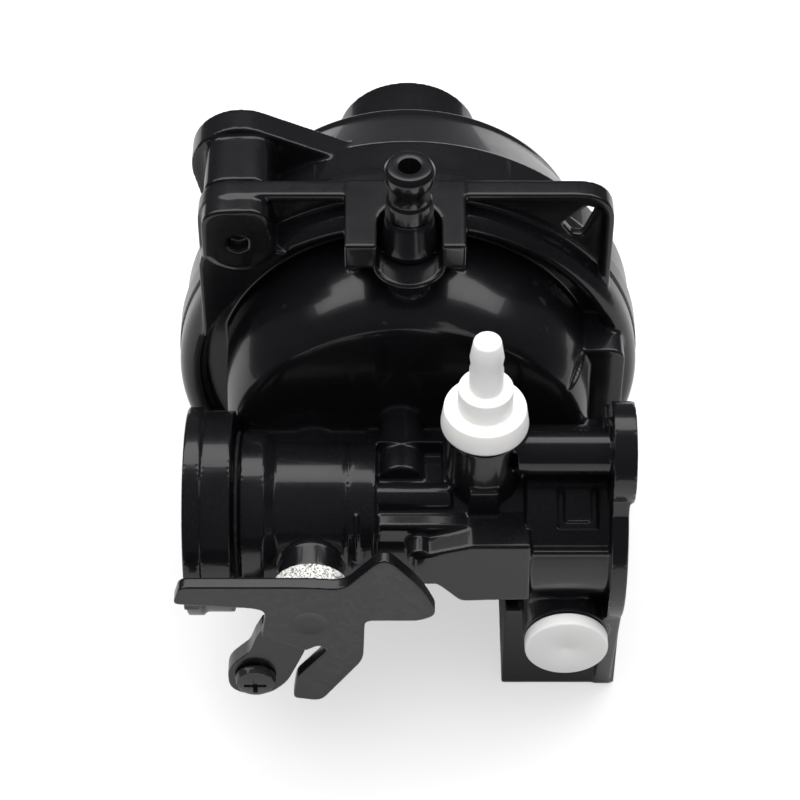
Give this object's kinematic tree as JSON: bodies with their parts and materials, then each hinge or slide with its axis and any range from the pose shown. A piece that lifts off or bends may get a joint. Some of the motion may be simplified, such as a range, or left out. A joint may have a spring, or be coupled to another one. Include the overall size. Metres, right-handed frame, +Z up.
{
  "type": "float carburettor",
  "caption": "Small-engine float carburettor in black nylon: barrel throat with a throttle lever, round float bowl, fuel inlet barb and white nylon inserts.",
  "frame": {"origin": "middle of the base it lies on", "axes": "+X along the throat from the engine side to the air side, +Y from the throttle lever to the float bowl, +Z up"},
  "size_m": [0.069, 0.1004, 0.0818],
  "materials": {
    "black_nylon": "semi-gloss moulded glass-filled nylon",
    "white_nylon": "natural white nylon",
    "rubber": "nitrile",
    "steel": "zinc-plated",
    "brass": "turned",
    "foam": "closed-cell float foam",
    "felt": "pressed wool"
  },
  "bodies": {
    "housing": {"carburettor_body": "black_nylon", "float_bowl": "black_nylon", "bowl_seal": "rubber", "bowl_screw_upper": "steel", "bowl_screw_lower": "steel", "fuel_inlet_barb": "black_nylon", "needle_seat": "brass", "float_hinge_pin": "steel", "emulsion_tube": "brass", "main_jet": "brass", "pilot_jet_insert": "white_nylon", "pilot_jet_seal": "rubber", "port_plug": "white_nylon", "spigot_seal": "rubber", "throttle_felt": "felt"},
    "throttle": {"throttle_shaft": "black_nylon", "throttle_plate": "steel", "throttle_plate_screw": "steel", "throttle_lever": "black_nylon"},
    "idle_screw": {"idle_speed_screw": "black_nylon"},
    "float_arm": {"float": "foam"},
    "needle": {"inlet_needle": "steel"}
  },
  "joints": [
    {"name": "throttle_turn", "type": "hinge", "parent": "housing", "child": "throttle", "pos_m": [-0.01374, -0.0478, 0.0331], "axis": [0, 1, 0], "range_deg": [0, 75]},
    {"name": "idle_screw_turn", "type": "hinge", "parent": "throttle", "child": "idle_screw", "pos_m": [-0.0219, -0.0478, 0.0196], "axis": [0, 1, 0], "continuous": true},
    {"name": "float_swing", "type": "hinge", "parent": "housing", "child": "float_arm", "pos_m": [0, 0.0033, 0.062], "axis": [1, 0, 0], "range_deg": [0, 8]},
    {"name": "needle_slide", "type": "slide", "parent": "housing", "child": "needle", "axis": [0, 1, 0], "range_m": [0, 0.0012]}
  ],
  "couplings": [
    {"joint": "needle_slide", "follows": "float_swing", "m_per_rad": 0.008}
  ]
}
